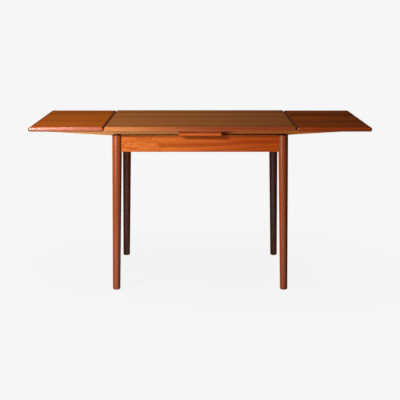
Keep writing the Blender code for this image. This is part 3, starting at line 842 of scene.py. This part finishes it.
def cope_tool(sizes, x_name, y_name):
    """Leg with a little room round it, for fitting rails and blocks to the leg of a corner."""
    master = leg_taper("cope_tool", sizes, sizes.fit)
    tool = mirrored(master, "cope_tool", X_SIDES[x_name], Y_SIDES[y_name])
    throw_away(master)
    return tool


def rail_heights(sizes):
    """Lowest and highest point of the rails' tenons."""
    low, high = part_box("back_apron")
    return low.z + sizes.tenon_shoulder, high.z - sizes.tenon_shoulder


def tenon_block(name, sizes, along, x_side, y_side, grow=0.0):
    """Tenon of an apron or an end rail at one corner, or its mortise where it is grown."""
    top, _ = leg_place(sizes)
    low_z, high_z = rail_heights(sizes)
    half = sizes.tenon_thickness / 2 + grow
    root = sizes.leg_top_diameter / 2 + sizes.tenon_root
    node = "back_apron" if along == X_AXIS else "right_end_rail"
    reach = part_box(node)[1][along] + grow
    if along == X_AXIS:
        corners = Vector((top.x - root, top.y - half)), Vector((reach, top.y + half))
    else:
        corners = Vector((top.x - half, top.y - root)), Vector((top.x + half, reach))
    xs = sorted(x_side * corner.x for corner in corners)
    ys = sorted(y_side * corner.y for corner in corners)
    return block(name, (xs[0], ys[0], low_z - grow), (xs[1], ys[1], high_z + grow))


def bolt_ends(sizes, corner):
    """Head point and tip of the bolt through a corner block, and its direction."""
    low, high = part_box("leg_bolt_" + corner)
    y_name, x_name = corner.split("_")
    direction = Vector((X_SIDES[x_name], Y_SIDES[y_name], 0.0)).normalized()
    centre = (low + high) / 2
    half = abs((high - low).x) / 2
    head = centre - direction * (half - SLANT * sizes.screw_head / 2) / SLANT
    tip = centre + direction * (half - SLANT * sizes.screw_shank / 2) / SLANT
    return head, tip, direction


def screw_shape(name, sizes, reach, grow=0.0, counterbore=0.0):
    """Countersunk screw down from its head at the origin, or the tool for its hole where it is grown."""
    head = sizes.screw_head / 2 + grow
    shank = sizes.screw_shank / 2 + grow
    body_end = sizes.screw_point - reach if not grow else -reach - grow
    screw = rod(name, (0.0, 0.0, body_end), (0.0, 0.0, -sizes.screw_head_height), shank, SCREW_SIDES)
    edit(screw)
    pick(screw, "FACE", lambda face: face.normal.z > STRAIGHT)
    bpy.ops.mesh.extrude_region_move(TRANSFORM_OT_translate={"value": (0.0, 0.0, sizes.screw_head_height)})
    bpy.ops.transform.resize(value=(head / shank, head / shank, 1.0), center_override=(0.0, 0.0, 0.0))
    if counterbore:
        bpy.ops.mesh.extrude_region_move(TRANSFORM_OT_translate={"value": (0.0, 0.0, counterbore)})
    if not grow:
        pick(screw, "FACE", lambda face: face.normal.z < -STRAIGHT)
        bpy.ops.mesh.extrude_region_move(TRANSFORM_OT_translate={"value": (0.0, 0.0, -sizes.screw_point)})
        bpy.ops.transform.resize(value=(SCREW_TIP, SCREW_TIP, 1.0), center_override=(0.0, 0.0, -reach))
    leave()
    return screw


def head_of(node, direction):
    """Head point of an upright screw that fills its node's box, and its length."""
    low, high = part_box(node)
    head = centre_of(node)
    head.z = low.z if direction.z > 0 else high.z
    return head, high.z - low.z


def sink(piece, sizes, head, direction, reach, counterbore):
    """Drill the hole of a countersunk screw, with room for its head."""
    hole = screw_shape("screw_hole", sizes, reach, sizes.fit, counterbore)
    aim(hole, head, direction)
    combine(piece, hole)


class TABLE_OT_legs(bpy.types.Operator):
    """Turn one tapered leg with a rounded foot, mortise it and copy it to the other corners"""

    bl_idname = "table.legs"
    bl_label = "Legs"

    def execute(self, context):
        sizes = context.scene.table_sizes
        master = leg_taper("leg_master", sizes)
        top, _ = leg_place(sizes)
        edit(master)
        pick(master, "EDGE", lambda edge: middle(edge).z < TOUCH)
        soften(sizes.foot_round, FOOT_SEGMENTS)
        pick(master, "EDGE", lambda edge: middle(edge).z > top.z - TOUCH)
        soften(sizes.leg_top_round, ARRIS_SEGMENTS)
        leave()
        for along in (X_AXIS, Y_AXIS):
            combine(master, tenon_block("mortise", sizes, along, 1, 1, sizes.fit))
        head, tip, direction = bolt_ends(sizes, "back_right")
        bore(master, head, tip + sizes.fit * direction, sizes.screw_shank / 2 + sizes.fit, SCREW_SIDES)
        deal(master, corner_places("leg"), "leg_teak", Z_AXIS, worn=False)
        return {"FINISHED"}


class TABLE_OT_aprons(bpy.types.Operator):
    """Plane the front apron, cope it to the legs, tenon it and copy it to the back"""

    bl_idname = "table.aprons"
    bl_label = "Aprons"

    def execute(self, context):
        sizes = context.scene.table_sizes
        low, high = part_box("front_apron")
        top, _ = leg_place(sizes)
        master = block("apron_master", (-top.x, low.y, low.z), (top.x, high.y, high.z))
        soften_sharp(master, sizes.arris, ARRIS_SEGMENTS)
        for x_name, x_side in X_SIDES.items():
            combine(master, cope_tool(sizes, x_name, "front"))
            combine(master, tenon_block("tenon", sizes, X_AXIS, x_side, Y_SIDES["front"]), "UNION")
            screw = f"centre_board_screw_front_{x_name}"
            ends = axis_of(screw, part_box(screw)[0].z - sizes.fit, high.z + CLEAR)
            bore(master, *ends, sizes.screw_shank / 2 + sizes.fit, SCREW_SIDES)
        for apron in deal(master, row_places("{}_apron"), "apron_teak", X_AXIS, step=3):
            # Painted light on the aprons' upward faces
            mark(apron, "bare", bareness)
        return {"FINISHED"}


def runner_floor(place_along):
    """Height of a runner's lower edge, at a place measured outwards from the middle of the table."""
    low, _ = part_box("right_leaf_runner_back")
    return low.z + SLIDE_SLOPE * (place_along - low.x)


class TABLE_OT_end_rails(bpy.types.Operator):
    """Plane the right end rail, cope and tenon it, notch it for its leaf's runners and mirror it"""

    bl_idname = "table.end_rails"
    bl_label = "End rails"

    def notch(self, sizes, leaf, y_side):
        """Sloping tool as wide as a runner of a leaf and its room."""
        rail_low, rail_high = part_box("right_end_rail")
        runner_low, runner_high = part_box(f"{leaf}_leaf_runner_back")
        start = rail_low.x - CLEAR
        stop = rail_high.x + CLEAR
        ys = sorted(y_side * y for y in (runner_low.y - sizes.notch_side, runner_high.y + sizes.notch_side))
        floor = runner_floor(start) - sizes.fit
        tool = block("notch", (start, ys[0], floor), (stop, ys[1], rail_high.z + CLEAR))
        rise = SLIDE_SLOPE * (stop - start)
        edit(tool)
        shift_points(tool, lambda point: point.co.x > stop - TOUCH and point.co.z < floor + TOUCH, rise * UP)
        leave()
        return tool

    def execute(self, context):
        sizes = context.scene.table_sizes
        low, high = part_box("right_end_rail")
        top, _ = leg_place(sizes)
        master = block("end_rail_master", (low.x, -top.y, low.z), (high.x, top.y, high.z))
        soften_sharp(master, sizes.arris, ARRIS_SEGMENTS)
        for y_name, y_side in Y_SIDES.items():
            combine(master, cope_tool(sizes, "right", y_name))
            combine(master, tenon_block("tenon", sizes, Y_AXIS, 1, y_side), "UNION")
        for plank, (x_name, x_side) in enumerate(X_SIDES.items()):
            node = x_name + "_end_rail"
            notched = copy_of(master, "notched")
            for y_side in Y_SIDES.values():
                combine(notched, self.notch(sizes, x_name, y_side))
            deal(notched, {node: (x_side, 1)}, "frame_teak", Y_AXIS, first=plank + 2)
        throw_away(master)
        return {"FINISHED"}


class TABLE_OT_corner_blocks(bpy.types.Operator):
    """Saw one three-cornered block, cope it to its leg, drill it and copy it to the other corners"""

    bl_idname = "table.corner_blocks"
    bl_label = "Corner blocks"

    def execute(self, context):
        sizes = context.scene.table_sizes
        low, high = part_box("corner_block_back_right")
        master = block("corner_block_master", low, high)
        slice_off(master, (low.x, high.y, low.z), (-1.0, -1.0, 0.0))
        soften_sharp(master, sizes.fine_arris, ARRIS_SEGMENTS)
        combine(master, cope_tool(sizes, "right", "back"))
        head, tip, direction = bolt_ends(sizes, "back_right")
        sink(master, sizes, head, direction, (tip - head).length, high.x - low.x)
        deal(master, corner_places("corner_block"), "runner_beech", X_AXIS)
        return {"FINISHED"}


class TABLE_OT_guide_rails(bpy.types.Operator):
    """Plane the front guide rail with softened edges and copy it to the back"""

    bl_idname = "table.guide_rails"
    bl_label = "Guide rails"

    def execute(self, context):
        sizes = context.scene.table_sizes
        master = block("guide_rail_master", *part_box("front_guide_rail"))
        soften_sharp(master, sizes.arris, ARRIS_SEGMENTS)
        deal(master, row_places("{}_guide_rail"), "runner_beech", X_AXIS)
        return {"FINISHED"}


class TABLE_OT_centre_board(bpy.types.Operator):
    """Plane the fixed centre board, with holes for the guide pins and countersunk screw holes"""

    bl_idname = "table.centre_board"
    bl_label = "Centre board"

    def execute(self, context):
        sizes = context.scene.table_sizes
        low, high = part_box("centre_board")
        board = block(finished("centre_board"), low, high)
        soften_sharp(board, sizes.arris, ARRIS_SEGMENTS)
        for y_name in Y_SIDES:
            pin = "guide_pin_" + y_name
            bore(board, *axis_of(pin, low.z - CLEAR, high.z + CLEAR), radius_of(pin) + sizes.pin_clearance)
        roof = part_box("back_apron")[1].z + sizes.board_groove
        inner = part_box("right_leaf_runner_back")[0].y - sizes.notch_side
        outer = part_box("left_leaf_runner_back")[1].y + sizes.notch_side
        for y_side in Y_SIDES.values():
            ys = sorted((y_side * inner, y_side * outer))
            groove = block("groove", (low.x - CLEAR, ys[0], low.z - CLEAR), (high.x + CLEAR, ys[1], roof))
            combine(board, groove)
        for x_name, y_name in CORNERS:
            head, reach = head_of(f"centre_board_screw_{y_name}_{x_name}", DOWN)
            sink(board, sizes, head, DOWN, reach, CLEAR)
        settle(board, "centre_board", "board_teak", X_AXIS, plank=5)
        return {"FINISHED"}


class TABLE_OT_stops(bpy.types.Operator):
    """Make the stop blocks of the frame and the round stop pegs of the runners"""

    bl_idname = "table.stops"
    bl_label = "Stop blocks and pegs"

    def execute(self, context):
        sizes = context.scene.table_sizes
        for x_name in X_SIDES:
            master = block("stop_block_master", *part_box(f"{x_name}_leaf_stop_block_front"))
            soften_sharp(master, sizes.fine_arris, ARRIS_SEGMENTS)
            deal(master, row_places(x_name + "_leaf_stop_block_{}"), "runner_beech", X_AXIS, first=2)
        master = upright_rod("stop_peg_master", "right_leaf_stop_peg_back")
        soften_sharp(master, sizes.fine_arris, ARRIS_SEGMENTS)
        deal(master, leaf_places("stop_peg"), "runner_beech", Z_AXIS, first=1, step=0)
        return {"FINISHED"}


class TABLE_OT_panels(bpy.types.Operator):
    """Lay the veneered panels of the top and the leaves, drilled for pins and screws underneath"""

    bl_idname = "table.panels"
    bl_label = "Veneered panels"

    def execute(self, context):
        sizes = context.scene.table_sizes
        for plank, board in enumerate(BOARDS):
            node = board + "_panel"
            low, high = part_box(node)
            panel = block(finished(node), low, high)
            soften_sharp(panel, sizes.fit, segments=1)
            if board == "top":
                kind = "main_veneer"
                held = ["guide_pin_" + y_name for y_name in Y_SIDES]
                radius = radius_of("guide_pin_front")
            else:
                kind = "leaf_veneer"
                held = [f"{board}_runner_{y_name}_screw_{end}" for y_name in Y_SIDES for end in SCREW_ENDS]
                radius = sizes.screw_shank / 2
            for pin in held:
                ends = axis_of(pin, low.z - CLEAR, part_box(pin)[1].z + sizes.fit)
                bore(panel, *ends, radius + sizes.fit)
            settle(panel, node, kind, X_AXIS, plank, worn=False)
        return {"FINISHED"}


class TABLE_OT_lippings(bpy.types.Operator):
    """Round a blank as large as each board, and saw its four mitred lippings out of it"""

    bl_idname = "table.lippings"
    bl_label = "Lippings"

    def blank(self, sizes, low, high, eased):
        """Board-sized block with rounded edges, and rounder ones under its ends where it is eased."""
        made = block("board_blank", low, high)
        if eased:
            half_height = (low.z + high.z) / 2
            edit(made)
            pick(made, "EDGE", lambda edge: runs_along(edge, Y_AXIS) and middle(edge).z < half_height)
            soften(sizes.end_radius, END_SEGMENTS)
            leave()
        soften_sharp(made, sizes.edge_radius if eased else sizes.leaf_edge_radius, EDGE_SEGMENTS)
        return made

    def saw(self, sizes, blank, name, outward, low, high, width):
        """One side of the blank, cut off behind the lipping and mitred at both ends."""
        piece = copy_of(blank, name)
        centre = (low + high) / 2
        half = (high - low) / 2
        across = Vector((abs(outward.y), abs(outward.x), 0.0))
        reach = abs(half.dot(outward))
        span = half.dot(across)
        slice_off(piece, centre + outward * (reach - width), -outward)
        for end in (-1, 1):
            corner = centre + outward * reach + across * end * (span - sizes.mitre_gap)
            slice_off(piece, corner, across * end - outward)
        return piece

    def execute(self, context):
        sizes = context.scene.table_sizes
        plank = 0
        for board, (sides, long_kind, end_kind) in BOARDS.items():
            boxes = [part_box(f"{board}_{side}_lipping") for side in sides]
            low = Vector([min(box[0][axis] for box in boxes) for axis in range(3)])
            high = Vector([max(box[1][axis] for box in boxes) for axis in range(3)])
            front_low, front_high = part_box(f"{board}_front_lipping")
            blank = self.blank(sizes, low, high, board == "top")
            for side, outward in sides.items():
                node = f"{board}_{side}_lipping"
                piece = self.saw(sizes, blank, finished(node), outward, low, high, front_high.y - front_low.y)
                if side in FRONTS:
                    settle(piece, node, long_kind, X_AXIS, plank)
                    darkened = sides.get("outer")
                else:
                    settle(piece, node, end_kind, Y_AXIS, plank)
                    darkened = outward
                if darkened:
                    mark(piece, "stain", lambda normal: stain(normal, darkened))
                plank += 1
            throw_away(blank)
        return {"FINISHED"}


class TABLE_OT_runners(bpy.types.Operator):
    """Shape one tapered runner, drill it for its screws and its peg, and copy it to the other three"""

    bl_idname = "table.runners"
    bl_label = "Runners"

    def shape(self, sizes, low, high):
        """Runner that lies level under its leaf and runs back along the slope of the slide."""
        bend = low.x + (high.z - low.z - sizes.runner_depth) / SLIDE_SLOPE
        runner = block("runner_master", low, high)
        edit(runner)
        bpy.ops.mesh.select_all(action="SELECT")
        bpy.ops.mesh.bisect(plane_co=(bend, 0.0, 0.0), plane_no=(1.0, 0.0, 0.0))
        half_height = (low.z + high.z) / 2
        drop = low.z + sizes.runner_depth - high.z
        shift_points(runner, lambda point: point.co.x < low.x + TOUCH and point.co.z > half_height, drop * UP)
        for station in (bend, high.x):
            rise = SLIDE_SLOPE * (station - low.x)
            spot = Vector((station, low.z))
            shift_points(runner, lambda point: (point.co.xz - spot).length < TOUCH, rise * UP)
        bpy.ops.mesh.select_all(action="SELECT")
        bpy.ops.mesh.normals_make_consistent(inside=False)
        leave()
        soften_sharp(runner, sizes.fine_arris, ARRIS_SEGMENTS)
        return runner

    def execute(self, context):
        sizes = context.scene.table_sizes
        low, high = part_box("right_leaf_runner_back")
        master = self.shape(sizes, low, high)
        for end in SCREW_ENDS:
            head, reach = head_of(f"right_leaf_runner_back_screw_{end}", UP)
            sink(master, sizes, head, UP, reach, sizes.runner_depth)
        peg = "right_leaf_stop_peg_back"
        peg_low, peg_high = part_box(peg)
        bore(master, *axis_of(peg, peg_low.z - CLEAR, peg_high.z + sizes.fit), radius_of(peg) + sizes.fit)
        deal(master, leaf_places("runner"), "runner_beech", X_AXIS)
        return {"FINISHED"}


class TABLE_OT_guide_pins(bpy.types.Operator):
    """Turn the front guide pin with a rounded free end and copy it to the back"""

    bl_idname = "table.guide_pins"
    bl_label = "Guide pins"

    def execute(self, context):
        sizes = context.scene.table_sizes
        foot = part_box("guide_pin_front")[0].z
        master = upright_rod("guide_pin_master", "guide_pin_front")
        edit(master)
        pick(master, "EDGE", lambda edge: middle(edge).z < foot + TOUCH)
        soften(sizes.pin_chamfer, ARRIS_SEGMENTS)
        leave()
        deal(master, row_places("guide_pin_{}"), "runner_beech", Z_AXIS, first=3, step=0)
        return {"FINISHED"}


class TABLE_OT_screws(bpy.types.Operator):
    """Turn a slotted screw of each length and copy it to its places"""

    bl_idname = "table.screws"
    bl_label = "Screws"

    def slotted(self, sizes, reach):
        """Screw of a given length with a slot across its head."""
        screw = screw_shape("screw_master", sizes, reach)
        half = sizes.slot_width / 2
        across = sizes.screw_head
        combine(screw, block("slot", (-across, -half, -sizes.slot_depth), (across, half, CLEAR)))
        return screw

    def drive(self, master, node, head, direction):
        """Copy of a screw in the place of a node."""
        screw = copy_of(master, finished(node))
        aim(screw, head, direction)
        settle(screw, node, "screw_steel", Z_AXIS, worn=False)

    def upright(self, sizes, nodes, direction):
        """Screws that stand upright, each with its head at one end of its node's box."""
        _, reach = head_of(nodes[0], direction)
        master = self.slotted(sizes, reach)
        for node in nodes:
            head, _ = head_of(node, direction)
            self.drive(master, node, head, direction)
        throw_away(master)

    def execute(self, context):
        sizes = context.scene.table_sizes
        self.upright(sizes, [f"centre_board_screw_{y_name}_{x_name}" for x_name, y_name in CORNERS], DOWN)
        runners = [f"{x_name}_leaf_runner_{y_name}" for x_name, y_name in CORNERS]
        self.upright(sizes, [f"{runner}_screw_{end}" for runner in runners for end in SCREW_ENDS], UP)
        head, tip, _ = bolt_ends(sizes, "back_right")
        master = self.slotted(sizes, (tip - head).length)
        for x_name, y_name in CORNERS:
            corner = f"{y_name}_{x_name}"
            head, _, direction = bolt_ends(sizes, corner)
            self.drive(master, "leg_bolt_" + corner, head, direction)
        throw_away(master)
        return {"FINISHED"}


# Studio
def add_area_light(studio, name):
    """Soft rectangular light, with the place, aim, size and power that the studio has for it."""
    origin = Vector(getattr(studio, name + "_place"))
    way = Vector(getattr(studio, name + "_aim")) - origin
    bpy.ops.object.light_add(type="AREA", location=origin, rotation=way.to_track_quat("-Z", "Y").to_euler())
    light = bpy.context.object
    light.name = name + "_light"
    light.data.shape = "RECTANGLE"
    light.data.size = getattr(studio, name + "_width")
    light.data.size_y = getattr(studio, name + "_height")
    light.data.energy = getattr(studio, name + "_power")
    return light


def seen_directly(wire, behind):
    """1 for rays that show the backdrop: from the camera, or from a mirror or glass to behind the table."""
    path = wire.node("ShaderNodeLightPath")
    outputs = path.socket.node.outputs
    camera = Wire(wire.tree, outputs["Is Camera Ray"])
    mirror = Wire(wire.tree, outputs["Is Glossy Ray"])
    return camera + (mirror + Wire(wire.tree, outputs["Is Transmission Ray"])) * behind


class TABLE_OT_studio(bpy.types.Operator):
    """Set up the floor, the backdrop, the lights and the camera"""

    bl_idname = "table.studio"
    bl_label = "Studio"

    def backdrop(self, studio):
        """World that looks pale where it is seen, and lights the table softly."""
        world = bpy.data.worlds.new("studio_backdrop")
        bpy.context.scene.world = world
        world.use_nodes = True
        tree = world.node_tree
        tree.nodes.clear()
        wire = Wire(tree)
        pale = wire.node("ShaderNodeBackground", {}, {"Color": grey(studio.backdrop)})
        soft = wire.node("ShaderNodeBackground", {}, {"Color": grey(studio.ambient)})
        way = wire.node("ShaderNodeTexCoord", {}, {}, "Generated")
        behind = between(wire, wire.node("ShaderNodeSeparateXYZ", {}, {"Vector": way}, "Y"), *BACKDROP_BEHIND)
        mixed = wire.node("ShaderNodeMixShader", {}, {0: seen_directly(wire, behind), 1: soft, 2: pale})
        output = tree.nodes.new("ShaderNodeOutputWorld")
        tree.links.new(mixed.socket, output.inputs["Surface"])

    def floor(self, studio):
        """Pale floor that keeps the table's shadow."""
        bpy.ops.mesh.primitive_circle_add(vertices=FLOOR_SIDES, radius=FLOOR_RADIUS, fill_type="NGON")
        floor = keep_place("studio_floor")
        material = bpy.data.materials.new("studio_floor")
        material.use_nodes = True
        tree = material.node_tree
        tree.nodes.remove(tree.nodes["Principled BSDF"])
        wire = Wire(tree)
        paint = wire.node("ShaderNodeBsdfDiffuse", {}, {"Color": opaque(studio.floor_colour)})
        glow = wire.node("ShaderNodeEmission", {}, {"Color": grey(studio.backdrop)})
        spot = wire.node("ShaderNodeTexCoord", {}, {}, "Object")
        distance = vector(wire, "LENGTH", spot, (0.0, 0.0, 0.0), "Value")
        near = between(wire, distance, studio.floor_reach, 0.0)
        shown = wire.node("ShaderNodeMixShader", {}, {0: near * studio.floor_shade, 1: glow, 2: paint})
        behind = between(wire, wire.node("ShaderNodeSeparateXYZ", {}, {"Vector": spot}, "Y"), *FLOOR_BEHIND)
        mixed = wire.node("ShaderNodeMixShader", {}, {0: seen_directly(wire, behind), 1: paint, 2: shown})
        tree.links.new(mixed.socket, tree.nodes["Material Output"].inputs["Surface"])
        floor.data.materials.append(material)

    def camera(self, studio):
        """Camera in front of the table, looking a little down on it."""
        turn = (math.pi / 2 - studio.camera_pitch, 0.0, 0.0)
        bpy.ops.object.camera_add(location=studio.camera_place, rotation=turn)
        camera = bpy.context.object
        camera.name = "studio_camera"
        camera.data.sensor_width = SENSOR_WIDTH
        camera.data.lens = studio.focal_pixels * SENSOR_WIDTH / IMAGE_SIDE
        bpy.context.scene.camera = camera

    def flag(self, light, nodes, state):
        """Keep a light off some pieces or on them alone, as a flag on a stand does."""
        flagged = bpy.data.collections.new("flagged_from_" + light.name)
        light.light_linking.receiver_collection = flagged
        for node in nodes:
            flagged.objects.link(bpy.data.objects[finished(node)])
        for member in flagged.collection_objects:
            member.light_linking.link_state = state

    def execute(self, context):
        studio = context.scene.table_studio
        bpy.ops.object.select_all(action="DESELECT")
        context.scene.view_settings.view_transform = "Standard"
        self.backdrop(studio)
        self.floor(studio)
        lights = {name: add_area_light(studio, name) for name in LIGHTS}
        for name in ("low", "back"):
            lights[name].visible_glossy = False
        for name in ("key", "top", "low"):
            self.flag(lights[name], ("leg_back_left", "leg_back_right"), "EXCLUDE")
        self.flag(lights["strip"], ("leg_front_left", "leg_front_right"), "INCLUDE")
        self.camera(studio)
        return {"FINISHED"}


OPERATORS = (TABLE_OT_legs, TABLE_OT_aprons, TABLE_OT_end_rails, TABLE_OT_corner_blocks, TABLE_OT_guide_rails,
             TABLE_OT_centre_board, TABLE_OT_stops, TABLE_OT_panels, TABLE_OT_lippings, TABLE_OT_runners,
             TABLE_OT_guide_pins, TABLE_OT_screws, TABLE_OT_studio)


class TABLE_PT_sidebar(bpy.types.Panel):
    """Sidebar panel with the steps that build the table, and its settings"""

    bl_idname = "TABLE_PT_sidebar"
    bl_label = "Draw-leaf table"
    bl_space_type = "VIEW_3D"
    bl_region_type = "UI"
    bl_category = "Table"

    def draw(self, context):
        layout = self.layout
        for operator in OPERATORS:
            layout.operator(operator.bl_idname)
        for group in (context.scene.table_sizes, context.scene.table_colours, context.scene.table_studio):
            box = layout.box()
            for name in group.__annotations__:
                box.prop(group, name)


CLASSES = (TableSizes, TableColours, TableStudio, *OPERATORS, TABLE_PT_sidebar)


def register():
    for made in CLASSES:
        bpy.utils.register_class(made)
    bpy.types.Scene.table_sizes = bpy.props.PointerProperty(type=TableSizes)
    bpy.types.Scene.table_colours = bpy.props.PointerProperty(type=TableColours)
    bpy.types.Scene.table_studio = bpy.props.PointerProperty(type=TableStudio)


def unregister():
    del bpy.types.Scene.table_studio
    del bpy.types.Scene.table_colours
    del bpy.types.Scene.table_sizes
    for made in reversed(CLASSES):
        bpy.utils.unregister_class(made)


def main():
    register()
    bpy.ops.table.legs()
    bpy.ops.table.aprons()
    bpy.ops.table.end_rails()
    bpy.ops.table.corner_blocks()
    bpy.ops.table.guide_rails()
    bpy.ops.table.centre_board()
    bpy.ops.table.stops()
    bpy.ops.table.panels()
    bpy.ops.table.lippings()
    bpy.ops.table.runners()
    bpy.ops.table.guide_pins()
    bpy.ops.table.screws()
    bpy.ops.table.studio()


if __name__ == "__main__":
    main()
